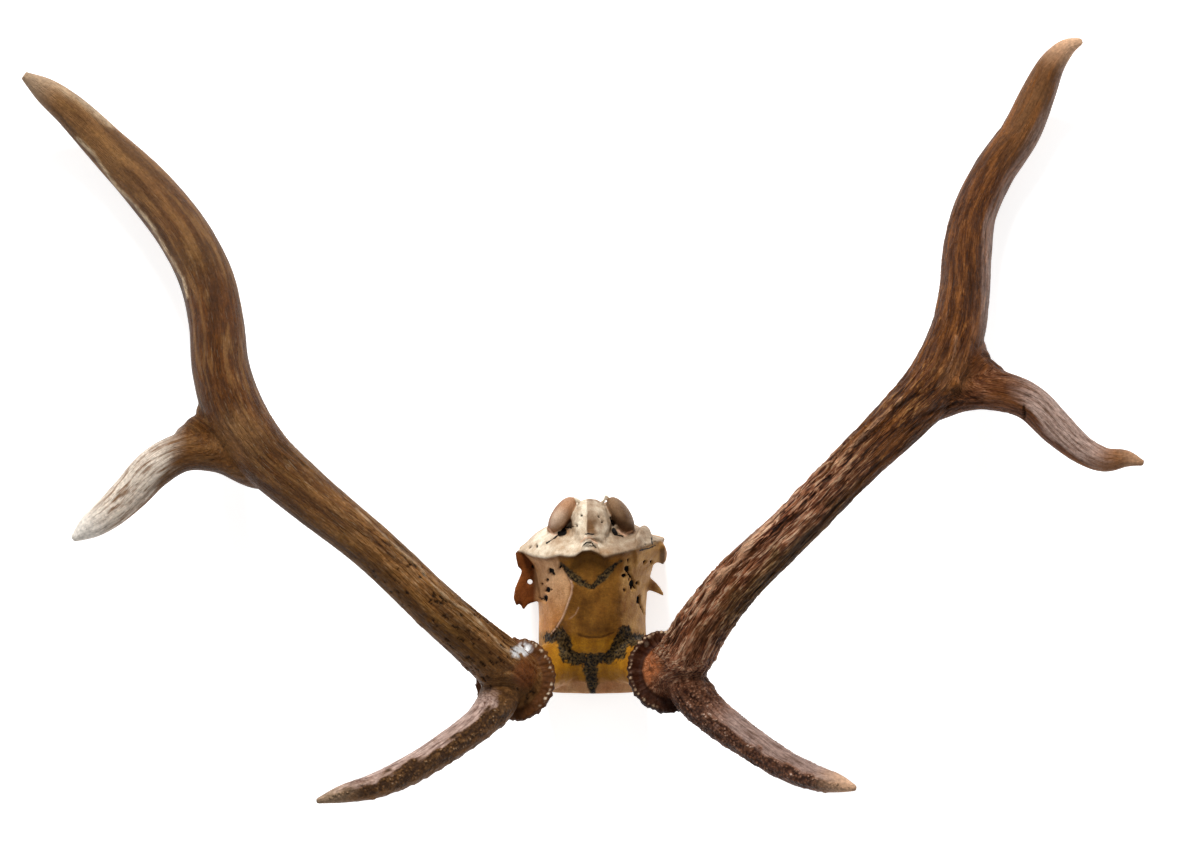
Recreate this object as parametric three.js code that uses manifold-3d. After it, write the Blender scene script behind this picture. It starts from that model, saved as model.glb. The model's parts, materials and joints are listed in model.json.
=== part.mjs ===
// Deer skull cap with both three-tined antlers, lying on its sawn underside.
// Millimetres, +Z up, the back of the head toward +Y. In the names, left is toward -X.
// The rack rests on the sawn skull base and on the outer bends of the two top tines.
import * as THREE from "three";
import { mergeVertices } from "three/addons/utils/BufferGeometryUtils.js";
import Module from "manifold-3d";

const wasm = await Module();
wasm.setup();

// Driving dimensions
const GAP = 0.3; // between neighbouring solids
const SKULL_X = 14; // middle plane of the skull
const BURR = {
  radius: 34, // coronet disc under its ring of pearls
  thickness: 14,
  sunk: 10, // how far the disc reaches below the foot of the beam
  pearls: 16,
  pearlRadius: 6,
  uneven: 0.18, // share by which pearls differ
  facets: 18,
};
const PEDICLE = { radius: 19, flare: 3, collar: 9, over: 2, steps: 6, sides: 14 };
const CONDYLE = { across: 10.5, long: 18.5, deep: 22, y: -96, z: 56, splay: 0.57 };
const CONDYLE_X = [-14.5, 39];
const CANAL = { radius: 14, y: -95, z: 38, length: 90 }; // spinal opening between the condyles
const CAVITY = { halfWidth: 34, halfLength: 60, height: 76, y: -172 }; // brain cavity
const SKULL_SEGMENTS = 26;
const SAW_BLOCK = { width: 500, depth: 200, y: -170 }; // what the sawn base cuts away
const RIDGES = { beam: 0.025, sideTine: 0.015, browTine: 0.025 }; // relief, as a share of the radius
const STEPS = { main: 42, side: 15, brow: 16, small: 8 }; // rings along a limb
const SIDES = { main: 14, tine: 12, small: 8 };

// A stop on a limb's centre line, with the limb's radius there
function stop(x, y, z, radius) {
  return { at: new THREE.Vector3(x, y, z), radius };
}

const RIGHT = {
  face: new THREE.Vector3(0.3, 0.2, 0.93), // the way the coronet faces
  main: [
    stop(80, -234, 100, 25),
    stop(93, -221, 121, 24.5),
    stop(111, -189, 137, 22.5),
    stop(139, -153, 146, 20.8),
    stop(193, -100, 148, 19.6),
    stop(248, -45, 134, 20.6),
    stop(288, -8, 119, 22.8),
    stop(318, 24, 104, 25.5),
    stop(338, 64, 88, 24.5),
    stop(347, 100, 70, 22.8),
    stop(353, 140, 48, 22),
    stop(362, 177, 32, 20),
    stop(381, 215, 20, 19.2),
    stop(407, 254, 21, 17.8),
    stop(421, 288, 31, 15.6),
    stop(431, 312, 44, 12),
    stop(443, 326, 54, 8),
    stop(455, 331, 60, 3),
  ],
  forkAt: 7, // the beam ends and the top tine starts at this stop
  side: [
    stop(280, -22, 115, 12),
    stop(312, -2, 108, 21),
    stop(345, 11, 105, 20),
    stop(374, 14, 106, 17.8),
    stop(400, 4, 108, 16),
    stop(424, -19, 110, 15),
    stop(446, -38, 113, 12.4),
    stop(464, -46, 117, 10.8),
    stop(482, -45, 122, 7.6),
    stop(496, -49, 128, 2.5),
  ],
  brow: [
    stop(92, -228, 117, 15),
    stop(100, -248, 126, 18),
    stop(117, -266, 143, 15.6),
    stop(146, -286, 166, 13.8),
    stop(176, -303, 192, 12.4),
    stop(200, -312, 212, 10.8),
    stop(219, -315, 226, 8),
    stop(234, -318, 237, 2.5),
  ],
  pedicle: [stop(42, -226, 54, 21), stop(60, -232, 76, 19)],
};
const LEFT = {
  face: new THREE.Vector3(-0.26, 0.22, 0.94),
  main: [
    stop(-53, -241, 100, 25),
    stop(-66, -226, 120, 24),
    stop(-86, -206, 135, 22.2),
    stop(-120, -175, 146, 20.7),
    stop(-176, -122, 148, 20.2),
    stop(-237, -74, 132, 22.8),
    stop(-274, -42, 118, 25),
    stop(-300, -8, 104, 27),
    stop(-316, 33, 88, 25.6),
    stop(-323, 76, 69, 24.6),
    stop(-335, 117, 50, 24.6),
    stop(-358, 158, 34, 24),
    stop(-392, 200, 23.5, 22.6),
    stop(-430, 239, 25, 18.8),
    stop(-460, 270, 37, 15.4),
    stop(-482, 288, 47, 11.5),
    stop(-499, 300, 54, 4),
  ],
  forkAt: 7,
  side: [
    stop(-250, -66, 116, 12),
    stop(-277, -59, 110, 21),
    stop(-314, -43, 106, 21),
    stop(-347, -42, 104, 18.8),
    stop(-373, -54, 103, 17.6),
    stop(-394, -76, 104, 16.2),
    stop(-413, -94, 108, 14),
    stop(-429, -106, 113, 10.5),
    stop(-442, -116, 118, 3),
  ],
  brow: [
    stop(-64, -234, 117, 15),
    stop(-68, -256, 125, 17.6),
    stop(-82, -273, 142, 14.6),
    stop(-110, -292, 166, 13),
    stop(-139, -308, 190, 12.2),
    stop(-168, -319, 212, 10.6),
    stop(-195, -325, 228, 8),
    stop(-215, -330, 237, 2.5),
  ],
  pedicle: [stop(-14, -228, 54, 21), stop(-34, -238, 76, 19)],
};

// Braincase sections from the sawn brow to the back of the head
const BRAINCASE = [
  { y: -257, halfWidth: 47, top: 56 },
  { y: -240, halfWidth: 49, top: 67 },
  { y: -215, halfWidth: 49, top: 81 },
  { y: -190, halfWidth: 49, top: 91 },
  { y: -168, halfWidth: 51, top: 97 },
  { y: -148, halfWidth: 55, top: 99 },
  { y: -137, halfWidth: 59, top: 100 },
  { y: -130, halfWidth: 66, top: 106 },
  { y: -126, halfWidth: 64, top: 102 },
  { y: -120, halfWidth: 58, top: 93 },
  { y: -115, halfWidth: 52, top: 84 },
  { y: -110, halfWidth: 45, top: 74 },
  { y: -104, halfWidth: 34, top: 61 },
  { y: -97, halfWidth: 26, top: 52 },
  { y: -90, halfWidth: 18, top: 46 },
];
const SKULL_MIDDLE_Z = 30; // height where the braincase is widest
const SKULL_BELOW = 90; // how far the sections reach down, before the saw cut at z = 0
const CREST_Y = -130;
const CREST_REACH = 16; // how far from the crest its line bends the skull's surface
// The crest's own line, x and y
const CREST = [
  [-54, -129], [-28, -134], [-2, -131], [13, -125], [26, -132], [46, -127], [74, -119],
];

// Outline of the ragged bone plate on the left flank, with the hole through it
const PLATE = [
  [-50, -126], [-55, -131], [-53, -144], [-49, -148], [-55, -160], [-56, -172],
  [-52, -176], [-50, -184], [-44, -179], [-36, -177], [-30, -150], [-34, -128],
];
const PLATE_HOLE = { x: -42, y: -159, radius: 3.5 };
const PLATE_Z = 38;
const PLATE_THICKNESS = 14;
const SPINE = {
  radius: 6,
  length: 28,
  middle: new THREE.Vector3(65, -165, 38),
  direction: new THREE.Vector3(18, -8, -3),
};
// Outline of the crest's right end with the hooked flap under it, and how its top slopes
const FLAP = [
  [56, -112], [58, -108], [62, -106], [66, -110], [68, -116], [74, -119], [80, -127],
  [80, -135], [76, -140], [71, -139], [64, -150], [54, -148],
];
const FLAP_Z = { low: 44, top: 94, from: 56, slope: 1 };
const NECK_RIDGE = [
  stop(14, -124, 96, 8),
  stop(13.5, -112, 82, 12),
  stop(13, -103, 71, 13),
  stop(12, -95, 60, 11),
  stop(11, -88, 54, 8),
];

function solidOf(geometry) {
  const bare = geometry.clone();
  bare.deleteAttribute("normal");
  bare.deleteAttribute("uv");
  const merged = mergeVertices(bare);
  return new wasm.Manifold(
    new wasm.Mesh({
      numProp: 3,
      vertProperties: merged.attributes.position.array,
      triVerts: new Uint32Array(merged.index.array),
    }),
  );
}

function geometryOf(solid) {
  const mesh = solid.getMesh();
  const geometry = new THREE.BufferGeometry();
  geometry.setAttribute("position", new THREE.BufferAttribute(mesh.vertProperties, 3));
  geometry.setIndex(new THREE.BufferAttribute(mesh.triVerts, 1));
  geometry.computeVertexNormals();
  return geometry;
}

function unionOf(solids) {
  return solids.reduce((whole, solid) => whole.add(solid));
}

// Centre line, radius and turning frame of a limb at even steps of its length
function limbPath(stops, steps) {
  const curve = new THREE.CatmullRomCurve3(stops.map((s) => s.at));
  const radii = new THREE.SplineCurve(stops.map((s, i) => new THREE.Vector2(i, s.radius)));
  const frames = curve.computeFrenetFrames(steps, false);
  const radiusAt = (u) => radii.getPoint(curve.getUtoTmapping(u)).y;
  return { curve, frames, steps, radiusAt, length: curve.getLength() };
}

// The nearest even step to a stop, by its number
function stepOfStop(path, stops, number) {
  const target = stops[number].at;
  let best = 0;
  for (let k = 0; k <= path.steps; k += 1) {
    const here = path.curve.getPointAt(k / path.steps).distanceTo(target);
    const kept = path.curve.getPointAt(best / path.steps).distanceTo(target);
    if (here < kept) best = k;
  }
  return best;
}

// Long wavy ridges and low lumps of an antler's surface, as a share of its radius
function relief(angle, along, depth) {
  const ridges = Math.sin(5 * angle + along / 37) + 0.7 * Math.sin(8 * angle - along / 51);
  const lumps = Math.sin(along / 9 + 3 * angle) * Math.sin(along / 23 - 2 * angle);
  return 1 + depth * (ridges + 0.8 * lumps);
}

// A limb from one step to another: a lathe whose height counts steps, bent along the path
function limb(path, { from, to, sides, depth, grow = 0, lift = 0 }) {
  const profile = [new THREE.Vector2(0, from)];
  for (let k = from; k <= to; k += 1) {
    profile.push(new THREE.Vector2(path.radiusAt(k / path.steps) + grow, k));
  }
  profile.push(new THREE.Vector2(0, to));
  const geometry = new THREE.LatheGeometry(profile.reverse(), sides);
  const place = geometry.attributes.position;
  for (let i = 0; i < place.count; i += 1) {
    const step = Math.round(place.getY(i));
    const angle = Math.atan2(place.getZ(i), place.getX(i));
    const along = (step / path.steps) * path.length;
    const wide = Math.hypot(place.getX(i), place.getZ(i)) * relief(angle, along, depth);
    const point = path.curve.getPointAt(step / path.steps);
    if (step === from) point.addScaledVector(path.frames.tangents[step], lift);
    point.addScaledVector(path.frames.normals[step], wide * Math.cos(angle));
    point.addScaledVector(path.frames.binormals[step], wide * Math.sin(angle));
    place.setXYZ(i, point.x, point.y, point.z);
  }
  return solidOf(geometry);
}

// Turns a geometry whose axis is +Y to start at a point and run along a direction
function aimed(geometry, start, direction) {
  const turn = new THREE.Quaternion().setFromUnitVectors(
    new THREE.Vector3(0, 1, 0),
    direction.clone().normalize(),
  );
  return geometry.applyQuaternion(turn).translate(start.x, start.y, start.z);
}

// Coronet at the foot of a beam: a flared disc ringed with fused pearls
function burr(side, grow = 0) {
  const { radius, thickness, sunk, pearls, pearlRadius, uneven, facets } = BURR;
  const face = side.face.clone().normalize();
  const start = side.main[0].at.clone().addScaledVector(face, -sunk - grow);
  const foot = side.main[0].radius + grow;
  const rim = radius + grow;
  const high = sunk + thickness + 2 * grow;
  const profile = [
    new THREE.Vector2(0, 0),
    new THREE.Vector2(foot, 0),
    new THREE.Vector2(rim, high * 0.55),
    new THREE.Vector2(rim, high * 0.8),
    new THREE.Vector2(foot, high),
    new THREE.Vector2(0, high),
  ];
  const ring = [];
  for (let i = 0; i < pearls; i += 1) {
    const angle = ((i + uneven * Math.sin(5 * i)) / pearls) * Math.PI * 2;
    const size = pearlRadius * (1 + uneven * Math.sin(7 * i + 1)) + grow;
    const pearl = new THREE.OctahedronGeometry(size, 1);
    pearl.translate(radius * Math.cos(angle), high * 0.68, radius * Math.sin(angle));
    ring.push(solidOf(aimed(pearl, start, face)));
  }
  return unionOf([solidOf(aimed(new THREE.LatheGeometry(profile, facets), start, face)), ...ring]);
}

// The four solids of one antler
function antler(side) {
  const path = limbPath(side.main, STEPS.main);
  const fork = stepOfStop(path, side.main, side.forkAt);
  const ridged = { sides: SIDES.main, depth: RIDGES.beam };
  const shaft = limb(path, { ...ridged, from: 0, to: fork });
  const topTine = limb(path, { ...ridged, from: fork, to: path.steps, lift: GAP });
  const around = limb(path, { ...ridged, from: 0, to: path.steps, grow: GAP });
  const sideTine = tine(side.side, STEPS.side, RIDGES.sideTine);
  const browTine = tine(side.brow, STEPS.brow, RIDGES.browTine);
  return {
    beam: shaft.add(burr(side)),
    topTine,
    sideTine: sideTine.subtract(around),
    browTine: browTine.subtract(around).subtract(burr(side, GAP)),
  };
}

function tine(stops, steps, depth) {
  return limb(limbPath(stops, steps), { from: 0, to: steps, sides: SIDES.tine, depth });
}

function smallLimb(stops, steps) {
  return limb(limbPath(stops, steps), { from: 0, to: steps, sides: SIDES.small, depth: 0 });
}

// Pedicle of the frontal bone that carries a coronet, cut flat a gap short of it
function pedicle(side) {
  const { radius, flare, collar, over, steps, sides } = PEDICLE;
  const face = side.face.clone().normalize();
  const foot = side.main[0].at.clone().addScaledVector(face, -BURR.sunk - GAP);
  const stops = [
    ...side.pedicle,
    { at: foot.clone().addScaledVector(face, -collar), radius },
    { at: foot.clone().addScaledVector(face, over), radius: radius + flare },
  ];
  const whole = limb(limbPath(stops, steps), { from: 0, to: steps, sides, depth: 0 });
  return whole.trimByPlane(face.clone().negate().toArray(), -face.dot(foot));
}

// How far the crest's line pulls the surface back or forward at a point near the crest
function crestShift(x, y) {
  const next = CREST.findIndex(([cornerX]) => cornerX > x);
  if (next < 1) return 0;
  const [[x0, y0], [x1, y1]] = [CREST[next - 1], CREST[next]];
  const line = y0 + ((y1 - y0) * (x - x0)) / (x1 - x0);
  return (line - CREST_Y) * Math.max(0, 1 - Math.abs(y - CREST_Y) / CREST_REACH);
}

// Closed skin over the braincase sections, shaped from an open-and-shut cylinder along Y
function braincase() {
  const rows = BRAINCASE.length - 1;
  const geometry = new THREE.CylinderGeometry(1, 1, 1, SKULL_SEGMENTS, rows, false);
  const place = geometry.attributes.position;
  for (let i = 0; i < place.count; i += 1) {
    const section = BRAINCASE[Math.round((place.getY(i) + 0.5) * rows)];
    const up = place.getZ(i);
    const reach = up > 0 ? section.top - SKULL_MIDDLE_Z : SKULL_BELOW;
    const x = SKULL_X + place.getX(i) * section.halfWidth;
    place.setXYZ(i, x, section.y + crestShift(x, section.y), SKULL_MIDDLE_Z + up * reach);
  }
  return solidOf(geometry);
}

function ellipsoid(centre, axes, turn, wide, tall) {
  const geometry = new THREE.SphereGeometry(1, wide, tall).scale(...axes);
  return solidOf(geometry.rotateZ(turn).translate(...centre));
}

function condyle(x) {
  const { across, long, deep, y, z, splay } = CONDYLE;
  return ellipsoid([x, y, z], [across, long, deep], Math.sign(x - SKULL_X) * splay, 12, 10);
}

// Ragged bone plate on the left flank
function flankPlate() {
  const outline = new THREE.Shape(PLATE.map(([x, y]) => new THREE.Vector2(x, y)));
  const hole = new THREE.Path().absarc(PLATE_HOLE.x, PLATE_HOLE.y, PLATE_HOLE.radius, 0, 2 * Math.PI);
  outline.holes.push(hole);
  const geometry = new THREE.ExtrudeGeometry(outline, {
    depth: PLATE_THICKNESS,
    bevelEnabled: false,
    curveSegments: 5,
  });
  return solidOf(geometry.translate(0, 0, PLATE_Z));
}

// Spine on the right flank
function spine() {
  const cone = new THREE.ConeGeometry(SPINE.radius, SPINE.length, SIDES.small);
  return solidOf(aimed(cone, SPINE.middle, SPINE.direction));
}

// The crest's right end: a flap whose top slopes down and outward
function flap() {
  const { low, top, from, slope } = FLAP_Z;
  const outline = new THREE.Shape(FLAP.map(([x, y]) => new THREE.Vector2(x, y)));
  const geometry = new THREE.ExtrudeGeometry(outline, { depth: 1, bevelEnabled: false });
  const place = geometry.attributes.position;
  for (let i = 0; i < place.count; i += 1) {
    const height = top - slope * (place.getX(i) - from) - low;
    place.setZ(i, low + place.getZ(i) * height);
  }
  return solidOf(geometry);
}

// Brain cavity and the spinal opening that leads into it
function hollow() {
  const { halfWidth, halfLength, height, y } = CAVITY;
  const bowl = ellipsoid([SKULL_X, y, 0], [halfWidth, halfLength, height], 0, 16, 12);
  const canal = new THREE.CylinderGeometry(CANAL.radius, CANAL.radius, CANAL.length, SIDES.tine);
  return bowl.add(solidOf(canal.translate(SKULL_X, CANAL.y, CANAL.z)));
}

function belowSawCut() {
  const { width, depth, y } = SAW_BLOCK;
  return solidOf(new THREE.BoxGeometry(width, width, depth).translate(0, y, -depth / 2));
}

function skull() {
  const bone = unionOf([
    braincase(),
    ...CONDYLE_X.map(condyle),
    smallLimb(NECK_RIDGE, STEPS.small),
    flankPlate(),
    spine(),
    flap(),
    pedicle(RIGHT),
    pedicle(LEFT),
  ]);
  return bone.subtract(hollow()).subtract(belowSawCut());
}

const bone = new THREE.MeshStandardMaterial({ color: "#a87a3f", roughness: 0.6, metalness: 0 });
const redAntler = new THREE.MeshStandardMaterial({ color: "#6b4532", roughness: 0.55, metalness: 0 });
const brownAntler = new THREE.MeshStandardMaterial({ color: "#655238", roughness: 0.55, metalness: 0 });

function named(name, solid, material) {
  const mesh = new THREE.Mesh(geometryOf(solid), material);
  mesh.name = name;
  return mesh;
}

function antlerMeshes(prefix, parts, material) {
  const group = new THREE.Group();
  group.add(named(`${prefix}_beam`, parts.beam, material));
  group.add(named(`${prefix}_brow_tine`, parts.browTine, material));
  group.add(named(`${prefix}_side_tine`, parts.sideTine, material));
  group.add(named(`${prefix}_top_tine`, parts.topTine, material));
  return group;
}

const rightAntler = antler(RIGHT);
const leftAntler = antler(LEFT);
const rack = new THREE.Group();
rack.add(named("skull", skull(), bone));
rack.add(antlerMeshes("right", rightAntler, redAntler));
rack.add(antlerMeshes("left", leftAntler, brownAntler));

export default rack;
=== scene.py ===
import json
import math
from itertools import product

import bmesh
import bpy
import numpy as np
from mathutils import Matrix, Vector

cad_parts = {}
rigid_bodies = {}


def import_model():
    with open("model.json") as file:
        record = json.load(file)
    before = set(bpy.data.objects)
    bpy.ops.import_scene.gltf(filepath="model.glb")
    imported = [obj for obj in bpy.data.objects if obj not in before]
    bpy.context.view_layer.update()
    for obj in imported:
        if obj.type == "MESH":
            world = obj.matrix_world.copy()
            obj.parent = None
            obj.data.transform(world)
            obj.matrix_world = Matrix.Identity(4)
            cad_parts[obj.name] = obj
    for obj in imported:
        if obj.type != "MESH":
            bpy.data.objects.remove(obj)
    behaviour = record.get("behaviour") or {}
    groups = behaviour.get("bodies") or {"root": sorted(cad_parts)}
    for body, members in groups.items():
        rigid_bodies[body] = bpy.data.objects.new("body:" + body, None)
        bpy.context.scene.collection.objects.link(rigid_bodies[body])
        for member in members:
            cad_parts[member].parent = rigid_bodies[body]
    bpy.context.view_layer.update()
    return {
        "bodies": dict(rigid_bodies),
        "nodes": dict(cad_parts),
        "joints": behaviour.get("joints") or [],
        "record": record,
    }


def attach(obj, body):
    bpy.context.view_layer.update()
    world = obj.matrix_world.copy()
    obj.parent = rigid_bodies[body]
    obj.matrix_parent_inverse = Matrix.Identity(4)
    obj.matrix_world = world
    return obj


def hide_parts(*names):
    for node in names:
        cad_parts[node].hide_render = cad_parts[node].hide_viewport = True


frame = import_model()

mm = 0.001               # sizes and places below are in millimetres, in the part's own frame

# the four limb lines of each antler: x, y, z and radius at every stop
rightAntler = {
    "name": "right_antler",
    "nodes": ("right_beam", "right_brow_tine", "right_side_tine", "right_top_tine"),
    "slot": "red_antler",
    "face": (0.3, 0.2, 0.93),   # the way the burr faces
    "burr": (79.5, -234, 100),
    "main": [
        (81.5, -233.5, 100, 23), (93.5, -221, 121, 23.5), (111, -189, 137, 22.5), (139, -153, 146, 20.8),
        (193, -100, 148, 19.6), (248, -45, 134, 20.6), (288, -8, 119, 22.8), (318, 24, 104, 25.5),
        (338, 64, 88, 24.5), (347, 100, 70, 22.8), (353, 140, 48, 22), (362, 177, 32, 20),
        (381, 215, 20, 19.2), (407, 254, 21, 17.8), (421, 288, 31, 15.6), (431, 312, 44, 12),
        (443, 325.5, 54, 8), (455, 330.2, 60, 2.8)],
    "side": [
        (284, -14, 115, 11), (312, 4, 108, 17.5), (345, 14, 105, 17), (374, 14, 106, 17.3),
        (400, 4, 108, 16), (424, -19, 110, 15), (446, -38, 113, 12.4), (464, -46, 117, 10.8),
        (482, -45, 122, 7.6), (496, -49, 128, 2.5)],
    "brow": [
        (92, -228, 117, 15), (100, -248, 126, 18), (117, -266, 143, 15.6), (146, -286, 166, 13.8),
        (176, -303, 192, 12.4), (200, -312, 212, 10.8), (219, -315, 226, 8), (234, -318, 237, 2.5)],
    "seed": 21,
    "ridgeDepth": 2.3,       # long ridges of the beam
    "fineDepth": 1.1,
    "shadyRidges": 0.6,      # share of the ridges left on the side away from the light
    "tineRidges": 0.5,
    "knobs": 620,
    "bare": (0.55, 0.75, 0.35),  # side of the brow tine without pearls
    "pits": 0.25,
    "teeth": 14,
    "stripe": ("#684e42", "#ac9084"),
    "stripeEdge": 0.1,
    "sideTip": 0.5,
    "dust": (62, -209, 2.2, 3, 0.12),   # x, y, half sizes and strength of a pale patch on the burr, a painted highlight
    "beadWay": (-0.85, 0.5, -0.4, 0.1),
    "beadShine": (0.15, 1.0),
    "contrast": 1.12,
    "browStart": (0.0, 0.14),
    "stripeStart": (0.22, 0.4),
    "fairFrom": (0.76, 0.92),
    "forkGlow": (330, 28, 24, 0.4),     # x, y, half size and strength of the fairer fork
    "paleEnd": (0.72, 0.95),
    "warm": (61, -228, 15, 17),
    "paleEdge": 0.45,
    "sideFair": (0.7, 0.9),
    "paleFrom": (-0.35, 0.3),
    "wornEdge": (0.6, 1.1),
    "bumps": [
        (331, 21, 124, 5.5), (352, 41, 94, 15.8), (351, 34, 97, 18), (360, 29, 100, 15.3),
        (368, 26.5, 102, 12), (350.5, 51, 90, 14.3)],
    # lines cut into the upper side, darkened as painted shade: depth, half width, x and y of their points
    "cuts": [
        (2.4, 1.9, [(131, -137), (153, -121), (175, -104), (197, -82), (216, -65), (235, -46), (245, -31),
                    (265, -16), (280, 1), (297, 11)]),
        (1.2, 1.2, [(348, 60), (356, 48), (366, 38)]),
        (2.2, 0.9, [(392, 1), (394, -9)]),
        (0.9, 1.4, [(322, 14), (338, 14), (352, 6)]),
        (0.8, 1.3, [(302, -8), (330, 2), (356, 5)]),
        (1.8, 2.0, [(360, 47), (372, 37), (384, 31)]),
    ],
    # lines that stand up, lightened as painted highlights
    "crests": [
        (1.3, 1.4, [(104, -178), (120, -152), (142, -128), (168, -98), (192, -72)]),
        (0.7, 0.8, [(334, 62), (331, 45), (324, 30)]),
        (0.8, 0.8, [(221, -52), (240, -33), (262, -12), (284, 8)]),
    ],
}
leftAntler = {
    "name": "left_antler",
    "nodes": ("left_beam", "left_brow_tine", "left_side_tine", "left_top_tine"),
    "slot": "brown_antler",
    "face": (-0.26, 0.22, 0.94),
    "burr": (-53, -241, 100),
    "main": [
        (-53, -241, 100, 25), (-66, -226, 120, 24), (-86, -206, 135, 22.2), (-120, -175, 146, 20.7),
        (-176, -122, 148, 20.2), (-237, -74, 132, 22.8), (-274, -42, 118, 25), (-300, -8, 104, 27),
        (-316, 33, 88, 25.6), (-323, 76, 69, 24.6), (-335, 117, 50, 24.6), (-358, 158, 34, 24),
        (-392, 200, 23.5, 22.6), (-430, 239, 25, 18.8), (-460, 270, 37, 15.4), (-482, 288, 47, 11.5),
        (-499, 300, 54, 4)],
    "side": [
        (-252, -58, 116, 11), (-277, -54, 110, 18.5), (-314, -39.5, 106, 18.5), (-347, -39.5, 104, 17.3),
        (-373, -54, 103, 17.6), (-394, -76, 104, 16.2), (-413, -94, 108, 14), (-429, -106, 113, 10.5),
        (-442, -116, 118, 3)],
    "brow": [
        (-64, -234, 117, 15), (-68, -256, 125, 17.6), (-82, -273, 142, 14.6), (-110, -292, 166, 13),
        (-139, -308, 190, 12.2), (-168, -319, 212, 10.6), (-195, -324, 228, 7.4),
        (-215, -328.6, 237, 2.3)],
    "seed": 8,
    "ridgeDepth": 0.65,
    "fineDepth": 0.45,
    "shadyRidges": 0.55,
    "tineRidges": 0.6,
    "knobs": 480,
    "bare": (-0.45, 0.85, 0.25),
    "pits": 1.0,
    "teeth": 60,
    "stripe": ("#664638", "#ccaea0"),
    "stripeEdge": 0.52,
    "sideTip": 0.0,
    "dust": (-48, -213, 10, 5.5, 1.0),
    "beadWay": (0.95, 0.3, 0.3, 0.75),
    "beadShine": (0.0, 0.9),
    "contrast": 0.5,
    "browStart": (0.04, 0.2),
    "stripeStart": (0.0, 0.1),
    "fairFrom": (0.6, 0.95),
    "forkGlow": (-294, -24, 32, 0.6),
    "paleEnd": (1.5, 2),
    "warm": (-44, -232, 12, 16),
    "paleEdge": 0.0,
    "sideFair": (0.42, 0.75),
    "paleFrom": (-0.75, 0.15),
    "wornEdge": (0.15, 0.6),
    "bumps": [(-322, -5, 96, 15), (-321, -19, 98, 18), (-333, -22, 100, 15.5), (-341, -29, 102, 15)],
    "cuts": [
        (0.4, 1.0, [(-319, -46), (-315, -42)]),
        (0.35, 0.9, [(-309, -36), (-305, -31)]),
        (1.6, 1.4, [(-459, 240), (-444, 225), (-427, 198), (-412, 185), (-391, 162), (-373, 134),
                    (-358, 114), (-354, 97)]),
        (0.45, 3.2, [(-326, 100), (-321, 60), (-312, 25), (-296, 0)]),
    ],
    "crests": [
        (0.55, 0.7, [(-190, -88), (-160, -115), (-134, -139), (-123, -153), (-106, -169), (-91, -178),
                    (-77, -193), (-63, -209), (-49, -220)]),
        (1.1, 1.3, [(-453, 245), (-438, 230), (-420, 203), (-405, 189), (-385, 166), (-367, 137),
                    (-353, 116), (-348, 99)]),
        (0.7, 3.4, [(-495, 299), (-470, 291), (-445, 275), (-423, 257)]),
    ],
}
antlerMesh = {
    "station": 4,            # step along a limb
    "sides": 36,
    "voxel": 1.5,
    "burr": {"radius": 34, "sunk": 10, "rim": 5, "beads": 54, "bead": 2.1},
    "knobSize": (1.2, 2.4),
    "blend": 5.5,            # width of the join between limbs
    "shadeFrom": (-0.15, 0.4),   # where the shaded side of a beam begins and is full
}


def cloudNoise(points, seed):
    # smooth noise from -1 to 1, on a repeating lattice of seeded values
    cells = 48
    table = np.random.default_rng(seed).random((cells, cells, cells))
    base = np.floor(points).astype(int)
    inner = points - base
    inner = inner * inner * (3 - 2 * inner)
    total = np.zeros(len(points))
    for corner in product((0, 1), repeat=3):
        share = np.prod(np.where(np.array(corner) == 1, inner, 1 - inner), axis=1)
        spot = (base + np.array(corner)) % cells
        total += share * table[spot[:, 0], spot[:, 1], spot[:, 2]]
    return total * 2 - 1


def ease(value, low, high):
    share = np.clip((value - low) / (high - low), 0, 1)
    return share * share * (3 - 2 * share)


def fade(value, low, high):
    return 1 - ease(value, low, high)


def limbLine(stops):
    # even stations on a smooth line through the stops
    stops = np.array(stops, float)
    ends = np.vstack([2 * stops[0] - stops[1], stops, 2 * stops[-1] - stops[-2]])
    gaps = np.sqrt(np.linalg.norm(np.diff(ends[:, :3], axis=0), axis=1))
    pieces = []
    for i in range(len(stops) - 1):
        a, b, c, d = ends[i:i + 4]
        g0, g1, g2 = gaps[i:i + 3]
        leave = ((b - a) / g0 - (c - a) / (g0 + g1) + (c - b) / g1) * g1
        arrive = ((c - b) / g1 - (d - b) / (g1 + g2) + (d - c) / g2) * g1
        t = np.linspace(0, 1, 24, endpoint=False)[:, None]
        pieces.append((2 * t**3 - 3 * t**2 + 1) * b + (t**3 - 2 * t**2 + t) * leave
                      + (3 * t**2 - 2 * t**3) * c + (t**3 - t**2) * arrive)
    dense = np.vstack(pieces + [stops[-1:]])
    run = np.concatenate([[0], np.cumsum(np.linalg.norm(np.diff(dense[:, :3], axis=0), axis=1))])
    along = np.linspace(0, run[-1], int(run[-1] / antlerMesh["station"]) + 1)
    even = np.column_stack([np.interp(along, run, dense[:, k]) for k in range(4)])
    tangent = np.gradient(even[:, :3], axis=0)
    tangent /= np.linalg.norm(tangent, axis=1)[:, None]
    up = np.array([0, 0, 1]) - tangent * tangent[:, 2:3]
    up /= np.linalg.norm(up, axis=1)[:, None]
    return {"centre": even[:, :3], "radius": even[:, 3], "tangent": tangent, "up": up,
            "side": np.cross(tangent, up), "along": along, "length": run[-1]}


def ringTube(rings, sides):
    # a straight tube of unit size, cut into even rings
    tube = bmesh.new()
    bmesh.ops.create_cone(tube, cap_ends=True, segments=sides, radius1=1, radius2=1, depth=1)
    long = [e for e in tube.edges if abs(e.verts[0].co.z - e.verts[1].co.z) > 0.5]
    bmesh.ops.subdivide_edges(tube, edges=long, cuts=rings - 1)
    return tube


def addInto(bm, part):
    carrier = bpy.data.meshes.new("carrier")
    part.to_mesh(carrier)
    part.free()
    bm.from_mesh(carrier)
    bpy.data.meshes.remove(carrier)


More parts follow.
